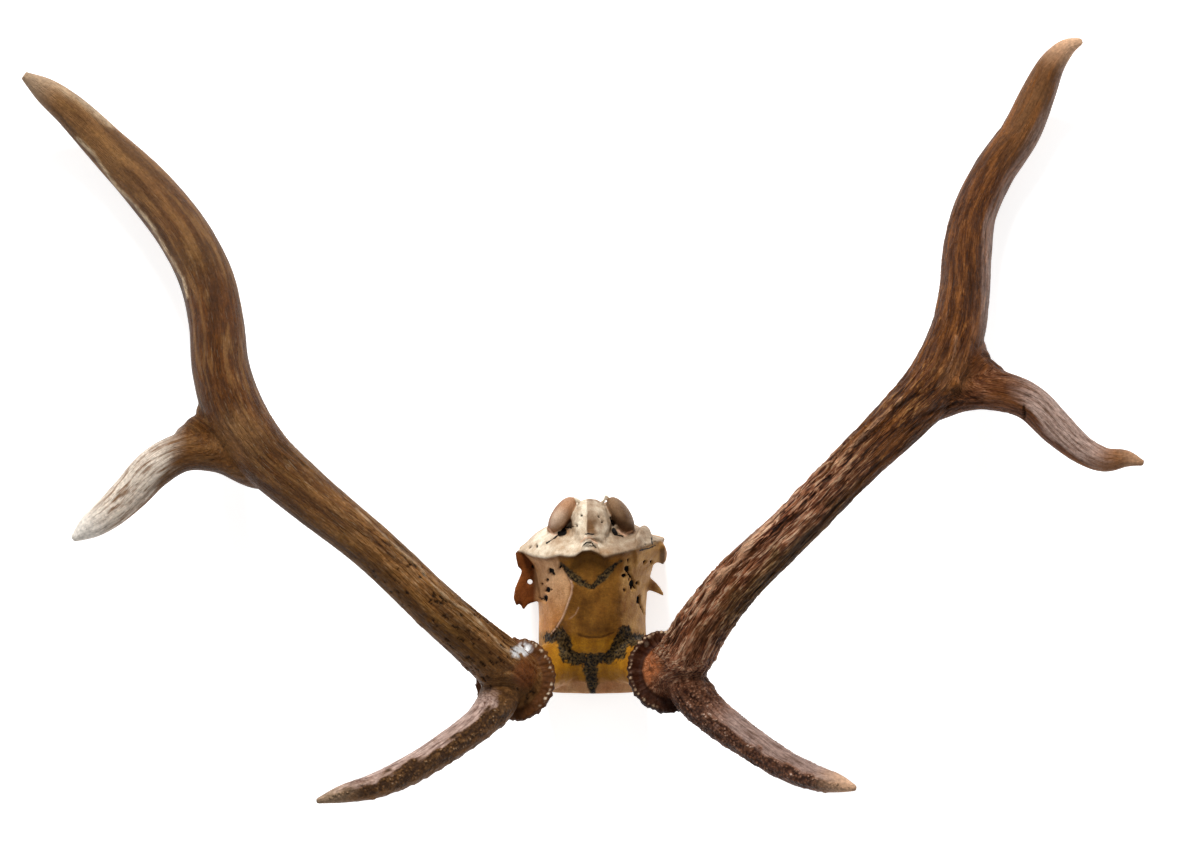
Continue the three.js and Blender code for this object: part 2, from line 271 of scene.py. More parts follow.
def addTube(bm, line, sides):
    # the tube's rings laid along the line
    rings = len(line["along"]) - 1
    tube = ringTube(rings, sides)
    for v in tube.verts:
        k = round((v.co.z + 0.5) * rings)
        out = line["up"][k] * v.co.x + line["side"][k] * v.co.y
        v.co = Vector(line["centre"][k] + out * line["radius"][k])
    addInto(bm, tube)


def placed(line, k, angle, lift, scale):
    # matrix for a small lump on the limb's skin, long side along the limb
    out = line["up"][k] * math.cos(angle) + line["side"][k] * math.sin(angle)
    across = np.cross(line["tangent"][k], out)
    turn = Matrix((across, out, line["tangent"][k])).transposed().to_4x4()
    spot = line["centre"][k] + out * (line["radius"][k] + lift)
    return Matrix.Translation(Vector(spot)) @ turn @ Matrix.Diagonal((*scale, 1))


def burrFrame(antler):
    # the burr's own axes, with its face as Z and its middle at the foot of the beam
    face = Vector(antler["face"]).normalized()
    turn = face.to_track_quat("Z", "Y").to_matrix().to_4x4()
    return Matrix.Translation(Vector(antler["burr"])) @ turn


def addBurr(bm, antler, rng):
    # a saucer with a raised, beaded rim, and the foot of the beam standing in it
    burr = antlerMesh["burr"]
    base = burrFrame(antler)
    size = burr["radius"]
    foot = antler["main"][0][3]
    low = -burr["sunk"]
    for start, end, wideLow, wideHigh in ((low, -1, foot, size - 0.5),
                                          (-1.2, burr["rim"], size - 0.5, size),
                                          (burr["rim"] - 0.2, 11, foot + 2.5, foot - 3)):
        middle = Matrix.Translation((0, 0, (start + end) / 2))
        bmesh.ops.create_cone(bm, cap_ends=True, segments=72, radius1=wideLow, radius2=wideHigh,
                              depth=end - start, matrix=base @ middle)
    glints = []
    rows = ((burr["rim"] - 0.5, 0.5, 1), (1.0, 1.2, 0.85), (-3.0, -0.8, 0.75))
    for row, (lift, reach, share) in enumerate(rows):
        for i in range(burr["beads"]):
            angle = (i + 0.5 * row + rng.uniform(-0.25, 0.25)) / burr["beads"] * math.tau
            bead = burr["bead"] * rng.uniform(0.75, 1.2) * share
            far = size + reach + rng.uniform(-0.6, 0.9)
            rise = lift + rng.uniform(-0.6, 0.6)
            spot = Matrix.Translation((far * math.cos(angle), far * math.sin(angle), rise))
            shape = Matrix.Rotation(angle, 4, "Z") @ Matrix.Diagonal((1.25, 0.85, 1.2, 1))
            bmesh.ops.create_icosphere(bm, subdivisions=2, radius=bead, matrix=base @ spot @ shape)
            if row == 0:
                glints.append((*((base @ spot).translation + Vector((-0.2, 0.5, 0.85)) * bead),
                               rng.uniform(*antler["beadShine"])))
    # teeth that stand inside the rim
    for i in range(antler["teeth"]):
        angle = rng.uniform(0, math.tau)
        far = size - rng.uniform(2, 6)
        spot = Matrix.Translation((far * math.cos(angle), far * math.sin(angle), burr["rim"]))
        shape = Matrix.Rotation(angle, 4, "Z") @ Matrix.Diagonal((1.6, 0.8, 1.3, 1))
        tooth = rng.uniform(1.3, 2.3)
        bmesh.ops.create_icosphere(bm, subdivisions=2, radius=tooth, matrix=base @ spot @ shape)
    return np.array(glints)


def addKnobs(bm, line, rng, count, reach, bare=None):
    # pearls that stand on the skin of a limb, fewer on the side that faces the bare way
    low, high = antlerMesh["knobSize"]
    for _ in range(count):
        share = rng.uniform(*reach)
        angle = rng.uniform(0, math.tau)
        bead = rng.uniform(low, high)
        k = int(share * (len(line["along"]) - 1))
        out = line["up"][k] * math.cos(angle) + line["side"][k] * math.sin(angle)
        if bare is not None and out @ np.array(bare) > rng.uniform(0.1, 0.75):
            continue
        bead *= 0.5 + 0.5 * line["radius"][k] / line["radius"].max()
        shape = (bead * 0.8, bead * 0.85, bead * rng.uniform(0.9, 1.5))
        bmesh.ops.create_icosphere(bm, subdivisions=2, radius=1,
                                   matrix=placed(line, k, angle, -0.3, shape))


def remeshed(name, bm, voxel, smoothing):
    # one closed skin round everything in the bmesh
    shell = bpy.data.meshes.new(name + "_shell")
    bm.transform(Matrix.Scale(mm, 4))
    bm.to_mesh(shell)
    bm.free()
    piece = bpy.data.objects.new(name, shell)
    bpy.context.scene.collection.objects.link(piece)
    skin = piece.modifiers.new("skin", "REMESH")
    skin.mode = "VOXEL"
    skin.voxel_size = voxel * mm
    calm = piece.modifiers.new("calm", "SMOOTH")
    calm.factor = 0.5
    calm.iterations = smoothing
    result = bpy.context.evaluated_depsgraph_get()
    mesh = bpy.data.meshes.new_from_object(piece.evaluated_get(result))
    piece.modifiers.clear()
    piece.data = mesh
    mesh.name = name
    bpy.data.meshes.remove(shell)
    return piece


def meshPoints(mesh):
    spots = np.empty(len(mesh.vertices) * 3)
    facing = np.empty(len(mesh.vertices) * 3)
    mesh.vertices.foreach_get("co", spots)
    mesh.vertex_normals.foreach_get("vector", facing)
    return spots.reshape(-1, 3) / mm, facing.reshape(-1, 3)


def setPoints(mesh, spots):
    mesh.vertices.foreach_set("co", (spots * mm).ravel())
    mesh.update()
    mesh.shade_smooth()


def keepValues(mesh, **values):
    # values from 0 to 1 at every point, read by the materials
    for name, given in values.items():
        layer = mesh.attributes.new(name, "FLOAT", "POINT")
        layer.data.foreach_set("value", np.clip(given, 0, 1).astype(np.float32))


def limbPlace(line, spots):
    # where each point lies on a limb: along it, round it, and how far off its skin
    nearest = np.empty(len(spots), int)
    for start in range(0, len(spots), 20000):
        part = spots[start:start + 20000]
        gap = ((part[:, None, :] - line["centre"][None, :, :]) ** 2).sum(axis=2)
        nearest[start:start + 20000] = gap.argmin(axis=1)
    away = spots - line["centre"][nearest]
    ahead = (away * line["tangent"][nearest]).sum(axis=1)
    flat = away - line["tangent"][nearest] * ahead[:, None]
    angle = np.arctan2((flat * line["side"][nearest]).sum(axis=1),
                       (flat * line["up"][nearest]).sum(axis=1))
    radius = line["radius"][nearest]
    along = line["along"][nearest] + ahead
    off = np.linalg.norm(away, axis=1) - radius
    out = flat / np.maximum(np.linalg.norm(flat, axis=1), 0.1)[:, None]
    return {"along": along, "angle": angle, "radius": radius, "off": off, "out": out,
            "share": along / line["length"]}


def skinNoise(place, wide, long, seed):
    # noise that is stretched along the limb
    grain = np.column_stack([np.cos(place["angle"]) * place["radius"] / wide,
                             np.sin(place["angle"]) * place["radius"] / wide, place["along"] / long])
    return cloudNoise(grain + 100, seed)


def limbRelief(place, antler, kind, seed):
    # long ridges with narrow grooves, and how light each point of them is: the antler's own tone together
    # with painted highlight on the crests and painted shade in the grooves
    flat = np.column_stack([place["along"] / 26, place["angle"] * place["radius"] / 15,
                            place["angle"] * 0])
    sway = cloudNoise(flat + 50, seed + 5)
    sway2 = cloudNoise(flat * 1.7 + 20, seed + 6)
    bent = dict(place, angle=place["angle"] + 4.5 * sway / place["radius"],
                along=place["along"] + 5 * sway2)
    coarse = skinNoise(bent, 7.5, 60, seed)
    long = 1 - 2 * np.abs(skinNoise(bent, 3.5, 60, seed + 1)) ** 0.8
    short = 1 - 2 * np.abs(skinNoise(bent, 2.7, 9, seed + 2)) ** 0.8
    fine = skinNoise(bent, 1.9, 9, seed + 3)
    share = place["share"]
    tine = antler["tineRidges"]
    if kind == "main":
        calm = np.interp(share, [0, 0.04, 0.4, 0.55, 0.8, 1], [0.7, 1, 1, tine, 0.3, 0.05])
        broken = np.interp(share, [0, 0.2, 0.4], [0.75, 0.35, 0.1])
    elif kind == "side":
        calm = np.interp(share, [0, 0.35, 0.6, 1], [1, tine, 0.35, 0.05])
        broken = np.full(len(share), 0.15)
    else:
        calm = np.interp(share, [0, 0.3, 0.75, 0.9, 1], [1, 0.6, 0.5, 0.2, 0.02])
        broken = np.full(len(share), 0.7)
    sun = ease(place["out"][:, 1], -0.3, 0.35)
    rugged = calm * (antler["shadyRidges"] + (1 - antler["shadyRidges"]) * sun)
    depth = antler["ridgeDepth"] * (0.35 * coarse + 0.6 * long * (1 - 0.4 * broken) + 0.95 * broken * short)
    depth = (depth + 0.6 * antler["fineDepth"] * fine) * rugged
    light = 0.16 * coarse + 0.3 * long + 0.42 * broken * short + 0.14 * fine
    light = 0.45 + antler["contrast"] * rugged * light
    return depth, light, rugged


def drawnLines(lines, spots, facing):
    # how strongly each point belongs to the drawn lines on the upper side, and how deep they go
    depth = np.zeros(len(spots))
    strength = np.zeros(len(spots))
    reach = max(line[0] for line in lines)
    wobble = cloudNoise(spots / 6, 77)
    for deep, wide, points in lines:
        gap = lineGap(spots, points) + 0.8 * wobble
        on = np.exp(-(np.maximum(gap, 0) / wide) ** 2) * ease(facing[:, 2], 0.05, 0.4)
        depth = np.maximum(depth, deep * on)
        strength = np.maximum(strength, on * deep / reach)
    return depth, strength


def lineGap(spots, line):
    # distance of each point from a drawn line, seen from above
    line = np.array(line, float)
    best = np.full(len(spots), 1e9)
    for a, b in zip(line[:-1], line[1:]):
        run = b - a
        share = np.clip(((spots[:, :2] - a) @ run) / (run @ run), 0, 1)
        gap = np.linalg.norm(spots[:, :2] - a - share[:, None] * run, axis=1)
        best = np.minimum(best, gap)
    return best


def buildAntler(antler):
    rng = np.random.default_rng(antler["seed"])
    lines = {kind: limbLine(antler[kind]) for kind in ("main", "side", "brow")}
    bm = bmesh.new()
    for line in lines.values():
        addTube(bm, line, antlerMesh["sides"])
    glints = addBurr(bm, antler, rng)
    addKnobs(bm, lines["brow"], rng, antler["knobs"], (0.17, 0.88), antler["bare"])
    addKnobs(bm, lines["main"], rng, antler["knobs"] // 4, (0.04, 0.16), (0, 1, 0))
    for *spot, radius in antler["bumps"]:
        bmesh.ops.create_icosphere(bm, subdivisions=3, radius=radius, matrix=Matrix.Translation(spot))
    piece = remeshed(antler["name"], bm, antlerMesh["voxel"], 2)
    mesh = piece.data
    spots, facing = meshPoints(mesh)
    seed = antler["seed"] * 10
    places = {kind: limbPlace(line, spots) for kind, line in lines.items()}
    weights = {kind: np.exp(-np.maximum(place["off"], -3) / antlerMesh["blend"]) + 1e-9
               for kind, place in places.items()}
    total = sum(weights.values())
    near = {kind: weight / total for kind, weight in weights.items()}

    def blended(values):
        # one value of every limb, mixed by how near each limb is
        return sum(near[kind] * given if given.ndim == 1 else near[kind][:, None] * given
                   for kind, given in values.items())

    made = {kind: limbRelief(place, antler, kind, seed + 10 * i)
            for i, (kind, place) in enumerate(places.items())}
    depth, light, rough = (blended({kind: made[kind][i] for kind in made}) for i in range(3))
    endings = {"main": (42, 1), "side": (26, antler["sideTip"]), "brow": (42, 0.9)}
    tipward = blended({
        kind: endings[kind][1] * ease(place["along"] - lines[kind]["length"], -endings[kind][0], -4)
        for kind, place in places.items()})
    grain = blended({kind: np.column_stack([np.cos(place["angle"]) * place["radius"],
                                            np.sin(place["angle"]) * place["radius"],
                                            place["along"] / 9 + 40 * i])
                     for i, (kind, place) in enumerate(places.items())})
    main, side, brow = (places[kind] for kind in ("main", "side", "brow"))
    # the burr in its own frame keeps its beads and only gets a fine roughness
    frame = np.array(burrFrame(antler).inverted())
    local = spots @ frame[:3, :3].T + frame[:3, 3]
    ring = np.linalg.norm(local[:, :2], axis=1)
    foot = antler["main"][0][3]
    onBurr = ease(ring, foot - 1, foot + 2.5) * ease(-np.abs(local[:, 2] + 1), -11, -8)
    away = spots[:, :2] - np.array(antler["burr"][:2])
    bearing = away / np.maximum(np.linalg.norm(away, axis=1), 1)[:, None]
    # painted highlights: a bright spot near the top of each rim bead, only on the side of the burr that the
    # bead way picks
    close = np.flatnonzero(onBurr > 0)
    gap = np.linalg.norm(spots[close][:, None] - glints[None, :, :3], axis=2)
    bead = np.zeros(len(spots))
    shine = glints[gap.argmin(axis=1), 3]
    bead[close] = (1 - ease(gap.min(axis=1), 0.2 + 0.5 * shine, 0.9 + 1.0 * shine)) * (0.35 + 0.65 * shine)
    x, y, low, high = antler["beadWay"]
    bead *= ease(bearing @ np.array([x, y]), low, high)
    spokes = np.cos(40 * np.arctan2(local[:, 1], local[:, 0]) + 2 * cloudNoise(spots / 5, seed + 72))
    depth = depth * (1 - 0.85 * onBurr) + onBurr * (0.4 * cloudNoise(spots / 2.4,
                                                                     seed + 71) + 0.15 * spokes)
    # small slots near the foot of the beam, darkened inside as painted shade
    pits = ease(skinNoise(main, 1.9, 4.6, seed + 81), 0.53, 0.67) * ease(-main["share"], -0.33, -0.1)
    pits *= (1 - onBurr) * antler["pits"] * near["main"]
    depth -= 1.1 * pits
    cutDeep, cut = drawnLines(antler["cuts"], spots, facing)
    crestHigh, crest = drawnLines(antler["crests"], spots, facing)
    depth += crestHigh - cutDeep
    pearls = ease(brow["share"], *antler["browStart"]) * near["brow"]
    spots = spots + facing * depth[:, None]
    spots[:, 2] = np.maximum(spots[:, 2], 0.3)
    setPoints(mesh, spots)
    facing = meshPoints(mesh)[1]
    up = facing[:, 2]
    # the pale sides of the side tine and the top tine: paler on the side facing the key light, painted
    # light together with the tines' own paler tone; the pale right edge of the top tine is a painted rim
    # light
    onSide = near["side"] * ease(side["share"], 0.36, 0.6)
    ragged = 0.35 * skinNoise(side, 3, 26, seed + 61)
    lit = side["out"][:, 1] + 0.4 * side["out"][:, 2] + ragged + 1.4 * (side["share"] - 0.6)
    pale = onSide * ease(lit, *antler["paleFrom"]) * fade(side["share"], *antler["paleEnd"])
    edge = antler["paleEdge"] * near["main"] * ease(main["share"], 0.5, 0.62)
    edge *= ease(main["out"][:, 0] + 0.3 * skinNoise(main, 3, 40, seed + 65), 0.15, 0.85)
    pale = np.maximum(pale, edge)
    # the smooth side of the brow tine, and its worn lower side
    ragged = 0.3 * skinNoise(brow, 3, 8, seed + 62) + 0.2 * skinNoise(brow, 6, 22, seed + 66)
    bare = brow["out"] @ np.array(antler["bare"]) + ragged
    edgeFrom = antler["stripeEdge"]
    smoothSide = ease(bare, edgeFrom, edgeFrom + 0.22) * ease(brow["share"], *antler["stripeStart"])
    worn = ease(-brow["out"][:, 1] + 0.4 * skinNoise(brow, 3, 9, seed + 67), *antler["wornEdge"])
    # soft patches seen from above: a painted highlight on the burr, warm skin and a fairer fork
    away = spots[:, :2]
    *spot, wide, high, strength = antler["dust"]
    dust = strength * fade(np.linalg.norm((away - spot) / (wide, high), axis=1), 0.6, 1.15)
    dust *= ease(local[:, 2], 0, 3) * ease(skinNoise(main, 1.8, 6, seed + 63), -0.3, 0.1) * (1 - bead)
    *spot, wide, high = antler["warm"]
    warm = fade(np.linalg.norm((away - spot) / (wide, high), axis=1), 0.55, 1.15)
    *spot, wide, strength = antler["forkGlow"]
    glow = strength * fade(np.linalg.norm(away - spot, axis=1), 0.3 * wide, wide)
    fair = near["main"] * ease(main["share"], *antler["fairFrom"])
    fair += near["side"] * ease(side["share"], *antler["sideFair"])
    shade = ease(-main["out"][:, 1] + 0.25 * cloudNoise(spots / 9, seed + 64), *antlerMesh["shadeFrom"])
    keepValues(
        mesh, tipward=tipward, pale=pale, burr=onBurr, bead=bead, dust=dust, crest=crest,
        relief=light - 0.7 * pits - 0.5 * cut + 0.3 * crest + 0.04 * spokes * onBurr,
        stripe=pearls * smoothSide, pearled=pearls * (1 - smoothSide) * (1 - 0.85 * worn),
        # lump: pearl tops facing up and towards the key light are lightened, a painted highlight
        lump=ease(brow["off"], 0, 1.3) * ease(0.5 * facing[:, 1] + 0.8 * up, 0, 0.7),
        rough=rough * (1 - onBurr) * (1 - 0.7 * pearls), fair=np.maximum(fair, glow * ease(up, 0, 0.6)),
        white=pale * ease(side["share"], 0.78, 1) * (antler["sideTip"] == 0),
        shade=shade * near["main"] * ease(main["share"], 0.03, 0.15),
        upper=near["main"] * ease(main["share"], 0.24, 0.42) + 0.6 * near["side"],
        warm=warm * ease(up, -0.1, 0.5) * (1 - onBurr))
    flow = mesh.attributes.new("grain", "FLOAT_VECTOR", "POINT")
    flow.data.foreach_set("vector", grain.astype(np.float32).ravel())
    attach(piece, "root")
    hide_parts(*antler["nodes"])
    print(antler["name"], "done,", len(mesh.polygons), "faces")
    return piece


skullShape = {
    "middle": 14,            # the skull's own middle plane
    "widest": 30,            # height where the braincase is widest
    "below": 90,
    "sections": [            # y, half width, top
        (-258, 46.5, 54), (-256.5, 47, 57), (-240, 49, 67.5), (-215, 49, 81), (-190, 48.5, 90),
        (-168, 50, 95), (-150, 53.5, 97), (-140, 57, 97.5), (-134, 62, 98.5), (-131.5, 65.5, 104),
        (-130, 67, 107), (-128, 66.5, 106), (-124, 62, 100), (-119, 57, 92), (-114, 51.5, 82),
        (-110, 45.5, 74), (-105, 36, 63), (-98, 27, 53), (-90, 18, 46)],
    "crestY": -130,
    "crest": [(-54, -128.5), (-39, -132.5), (-27, -134), (-15, -130.5), (-7, -131.8), (-1, -131.2),
              (5, -126.4), (13, -125.4), (19.5, -128.4), (25, -132), (34, -129.8), (46, -127.2),
              (58, -123.8), (74, -119)],
    "crestReach": (17, 15),
    "sides": 96,
    "row": 1.6,
    "voxel": 1.15,
    "condyle": {"axes": (8.6, 18.6, 20), "y": -96.5, "z": 58, "splay": 0.57, "x": (-13.6, 39.8)},
    "cavity": {"axes": (34, 60, 76), "y": -172},
    "canal": {"radius": 14, "y": -95, "z": 34, "long": 90},
    "pedicles": [((-14, -228, 54, 21), (-34, -238, 76, 19)), ((42, -226, 54, 21), (60, -232, 76, 19))],
    "pedicleRadius": 19,
    "collar": 9,
    "gap": 0.3,
    "plate": [(-50, -127), (-55.5, -131), (-53.5, -144), (-49.5, -147), (-51, -152), (-56, -163),
              (-57.5, -172), (-54.5, -180), (-52, -175.5), (-48.5, -183.5), (-44, -177.5), (-36, -175),
              (-30, -150), (-34, -128)],
    "plateHole": (-42.5, -157.5, 2.6),
    "plateZ": (40, 47),
    "flap": [(52, -118), (56, -109), (60, -106.5), (63, -106.5), (66, -110), (68, -116), (74.5, -119),
             (80, -125), (81.8, -131), (80.8, -137.5), (78, -142), (74.5, -140), (70.5, -140),
             (64, -150), (54, -150)],
    "flapZ": {"low": 40, "top": 86, "from": 58, "slope": 1.5},
    "spine": [(58, -158, 40, 7.5), (66, -160.5, 38, 5.5), (73, -165, 37, 3.4), (79.5, -171, 36, 0.8)],
    "neckRidge": [(14, -124, 92, 12), (13.5, -112, 78, 16), (13, -103, 67, 17.5), (12.5, -95, 57, 15),
                  (12, -88, 51, 11)],
    "arch": [(5.5, -126, 104, 1.4), (7.5, -120.5, 104.5, 1.8), (12.5, -118, 105, 2.2),
             (17, -120.5, 104.5, 1.8), (20, -127, 104, 1.4)],
    "fins": [[(-5, -82, 62, 2.2), (1, -83, 64, 1.6), (7, -88, 62, 1.2)],
             [(27, -79, 62, 2.2), (24, -84, 64, 1.6), (21, -90, 62, 1.2)]],
    "basin": [(-6, -87, 52, 4), (2, -90, 52, 4), (13, -93, 51, 4), (24, -90, 52, 4), (32, -87, 52, 4)],
    "rims": [[(-27, -109, 60, 1.6), (-20, -113, 65, 2.0), (-14, -109, 68, 1.5)],
             [(51, -108, 60, 1.6), (43, -110, 65, 2.0), (34, -106, 68, 1.5)]],
}

# lines drawn on the bone, in the part's X and Y
boneLines = {
    "lambda": [(-14, -139), (-9, -143), (-3, -150), (5, -156), (11, -159.5), (15, -159.5), (20, -154),
               (26, -148), (33, -141), (40, -136)],
    "coronal": [(-25, -207), (-17, -203), (-12, -208), (-10, -215), (-7, -222), (0, -226), (8, -225),
                (17, -226), (27, -223), (37, -217), (39, -209), (43, -203), (50, -206), (56, -210)],
    "midline": [(13, -226), (12.5, -235), (14, -247), (14, -259)],
    "temporal": [(-9, -146), (-5, -153), (-3.5, -158), (-4.5, -166), (-8, -176), (-12, -187), (-17, -196),
                 (-24, -205)],
    "crack": [(55.5, -170), (57, -177), (61, -186)],
    "crack2": [(46, -147), (49.5, -152), (52.5, -162)],
    "crease": [(2, -203), (10, -205), (22, -205), (33, -201)],
    "scratch": [(-6, -188), (-1, -184), (2, -178)],
}
skullMarks = {
    # dark gaps round the condyles and in the mouth of the spinal opening, coloured as painted shade: width,
    # then x and y
    "crevices": [(2.2, [(-5.5, -96), (-9.5, -104), (-13, -111)]), (3.0, [(-11, -111), (-15.5, -112.5)]),
                 (0.8, [(-16, -113), (-21, -117), (-27, -121)]), (1.0, [(30, -98), (32, -105)]),
                 (2.4, [(33.5, -109.5), (35.5, -112)]), (0.7, [(36, -113), (42, -114)]),
                 (0.7, [(8, -112), (16, -112)]), (0.6, [(-9, -107.5), (-2, -106)]),
                 (0.6, [(5.4, -122.6), (8.7, -119.3), (13.4, -119), (17.5, -124)]),
                 (0.7, [(56, -127), (64, -126), (72, -123)]), (0.7, [(67, -117), (68, -122)])],
    # pale lines along ledges, painted highlights: width, then x and y
    "edges": [(1.1, [(4, -119), (8, -115.6), (12.5, -115), (18.2, -120.2)]),
              (1.2, [(-25, -109), (-21.5, -113.2), (-15.5, -113)]),
              (1.2, [(37, -109.5), (43.9, -113), (49.6, -111)])],
}
# holes in the bone, darkened inside as painted shade: x, y, radius, how much longer than wide
bonePits = [(-23.2, -145.8, 3.4, 0.8), (-20.5, -148.5, 2.0, 0.8), (-26.5, -154, 1.9, 1),
            (-26.5, -163.3, 2.6, 1.2), (-28.6, -171.5, 2.6, 1.7), (-32.8, -172.8, 1.5, 1),
            (-31.2, -158.6, 1.1, 1), (-40, -143.8, 1.6, 1), (-22.5, -163, 1.1, 1),
            (-15, -141.5, 1.4, 1.6), (45.8, -143.8, 2.9, 1.2), (43.1, -149.8, 2.2, 1),
            (49.8, -158, 2.4, 2.1), (54.5, -157.2, 1.5, 1), (55.9, -172.8, 1.7, 2.6),
            (61.3, -138.3, 1.8, 1), (67.4, -139, 1.3, 1.6), (46.5, -136.3, 1.5, 1), (47, -153, 1.4, 1),
            (-5, -107, 1.6, 0.6), (-1, -105, 1.3, 1), (4, -96, 1.0, 1), (43, -163, 1.1, 1.6),
            (-47, -123, 1.2, 1), (-42, -125, 1.4, 0.7), (-36, -124, 1.1, 1), (62, -122, 1.4, 0.5),
            (70, -120, 1.5, 0.6), (23, -102, 1.2, 0.7), (20, -97, 1.1, 1)]


def crestLine(x):
    return np.interp(x, *zip(*skullShape["crest"]))


def addLoft(bm):
    # the braincase and the back of the head, lofted through the sections
    stops = np.array(skullShape["sections"], float)
    rows = int((stops[-1, 0] - stops[0, 0]) / skullShape["row"])
    loft = ringTube(rows, skullShape["sides"])
    middle = skullShape["widest"]
    before, behind = skullShape["crestReach"]
    for v in loft.verts:
        y = stops[0, 0] + (v.co.z + 0.5) * (stops[-1, 0] - stops[0, 0])
        wide, top = (np.interp(y, stops[:, 0], stops[:, k]) for k in (1, 2))
        x = skullShape["middle"] - v.co.x * wide
        z = middle + v.co.y * (top - middle if v.co.y > 0 else skullShape["below"])
        # the crest's own line pulls the surface with it
        away = y - skullShape["crestY"]
        share = 1 - (away / behind if away > 0 else -away / before)
        if share > 0:
            y += (crestLine(x) - skullShape["crestY"]) * share
        v.co = (x, y, z)
    addInto(bm, loft)


def addPlate(bm, outline, low, high):
    # an upright plate on an outline, with its floor and top heights given by functions of x and y
    plate = bmesh.new()
    corners = [plate.verts.new((x, y, low(x, y))) for x, y in outline]
    plate.faces.new(corners)
    for k in range(1, 14):
        for spot, across in (((0, -104 - 6 * k, 0), (0, 1, 0)), ((46 + 4 * k, 0, 0), (1, 0, 0))):
            bmesh.ops.bisect_plane(plate, geom=[*plate.verts, *plate.edges, *plate.faces], plane_co=spot,
                                   plane_no=across)
    grown = bmesh.ops.extrude_face_region(plate, geom=plate.faces[:])
    for v in grown["geom"]:
        if isinstance(v, bmesh.types.BMVert):
            v.co.z = high(v.co.x, v.co.y)
    addInto(bm, plate)


def cutterMesh():
    # everything that is taken out of the skull: brain cavity, spinal opening, plate hole and the saw cut
    bm = bmesh.new()
    cavity = skullShape["cavity"]
    canal = skullShape["canal"]
    centre = Matrix.Translation((skullShape["middle"], cavity["y"], 0))
    bmesh.ops.create_uvsphere(bm, u_segments=48, v_segments=32, radius=1,
                              matrix=centre @ Matrix.Diagonal((*cavity["axes"], 1)))
    across = Matrix.Translation((skullShape["middle"], canal["y"], canal["z"]))
    across @= Matrix.Rotation(math.pi / 2, 4, "X")
    bmesh.ops.create_cone(bm, cap_ends=True, segments=40, radius1=canal["radius"], radius2=canal["radius"],
                          depth=canal["long"], matrix=across)
    x, y, radius = skullShape["plateHole"]
    bmesh.ops.create_cone(bm, cap_ends=True, segments=16, radius1=radius, radius2=radius, depth=60,
                          matrix=Matrix.Translation((x, y, 45)))
    below = Matrix.Translation((0, -170, -100)) @ Matrix.Diagonal((500, 500, 200, 1))
    bmesh.ops.create_cube(bm, size=1, matrix=below)
    bm.transform(Matrix.Scale(mm, 4))
    mesh = bpy.data.meshes.new("skull_cutter")
    bm.to_mesh(mesh)
    bm.free()
    return mesh


def buildSkull():
    bm = bmesh.new()
    addLoft(bm)
    low, high = skullShape["plateZ"]
    addPlate(bm, skullShape["plate"],
             lambda x, y: low - 0.25 * (x + 36), lambda x, y: high - 0.25 * (x + 36))
    flap = skullShape["flapZ"]

    def flapTop(x, y):
        sunk = 1.1 * max(0, -130 - y) + 1.2 * max(0, y + 121)
        curl = 8 * max(0, 1 - abs(x - 80) / 4) * (y < -118)
        return max(flap["low"] + 4, flap["top"] - flap["slope"] * (x - flap["from"]) - sunk + curl)

    addPlate(bm, skullShape["flap"], lambda x, y: flap["low"], flapTop)
    condyle = skullShape["condyle"]
    for x in condyle["x"]:
        spot = Matrix.Translation((x, condyle["y"], condyle["z"]))
        turn = Matrix.Rotation(math.copysign(condyle["splay"], x - skullShape["middle"]), 4, "Z")
        bmesh.ops.create_uvsphere(bm, u_segments=40, v_segments=28, radius=1,
                                  matrix=spot @ turn @ Matrix.Diagonal((*condyle["axes"], 1)))
    for key in ("spine", "neckRidge", "basin", "arch"):
        addTube(bm, limbLine(skullShape[key]), 20)
    for small in (*skullShape["rims"], *skullShape["fins"]):
        addTube(bm, limbLine(small), 12)
    wide = skullShape["pedicleRadius"]
    for stops, antler in zip(skullShape["pedicles"], (leftAntler, rightAntler)):
        face = Vector(antler["face"]).normalized()
        foot = Vector(antler["burr"]) - face * (antlerMesh["burr"]["sunk"] + skullShape["gap"])
        collar = foot - face * skullShape["collar"]
        addTube(bm, limbLine([*stops, (*collar, wide), (*foot, wide + 3)]), 40)
    bm.transform(Matrix.Scale(mm, 4))
    shell = bpy.data.meshes.new("skull_shell")
    bm.to_mesh(shell)
    bm.free()
    piece = bpy.data.objects.new("skull_bone", shell)
    cutter = bpy.data.objects.new("skull_cutter", cutterMesh())
    for thing in (piece, cutter):
        bpy.context.scene.collection.objects.link(thing)
    solid = piece.modifiers.new("join", "REMESH")
    solid.mode = "VOXEL"
    solid.voxel_size = 1.3 * mm
    hollow = piece.modifiers.new("hollow", "BOOLEAN")
    hollow.operation = "DIFFERENCE"
    hollow.solver = "EXACT"
    hollow.object = cutter
    skin = piece.modifiers.new("skin", "REMESH")
    skin.mode = "VOXEL"
    skin.voxel_size = skullShape["voxel"] * mm
    calm = piece.modifiers.new("calm", "SMOOTH")
    calm.factor = 0.5
    calm.iterations = 2
    result = bpy.context.evaluated_depsgraph_get()
    mesh = bpy.data.meshes.new_from_object(piece.evaluated_get(result))
    piece.modifiers.clear()
    piece.data = mesh
    mesh.name = "skull_bone"
    bpy.data.objects.remove(cutter)
    spots, facing = meshPoints(mesh)
    drawBone(mesh, spots, facing)
    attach(piece, "root")
    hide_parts("skull")
    print("skull done,", len(mesh.polygons), "faces")
    return piece


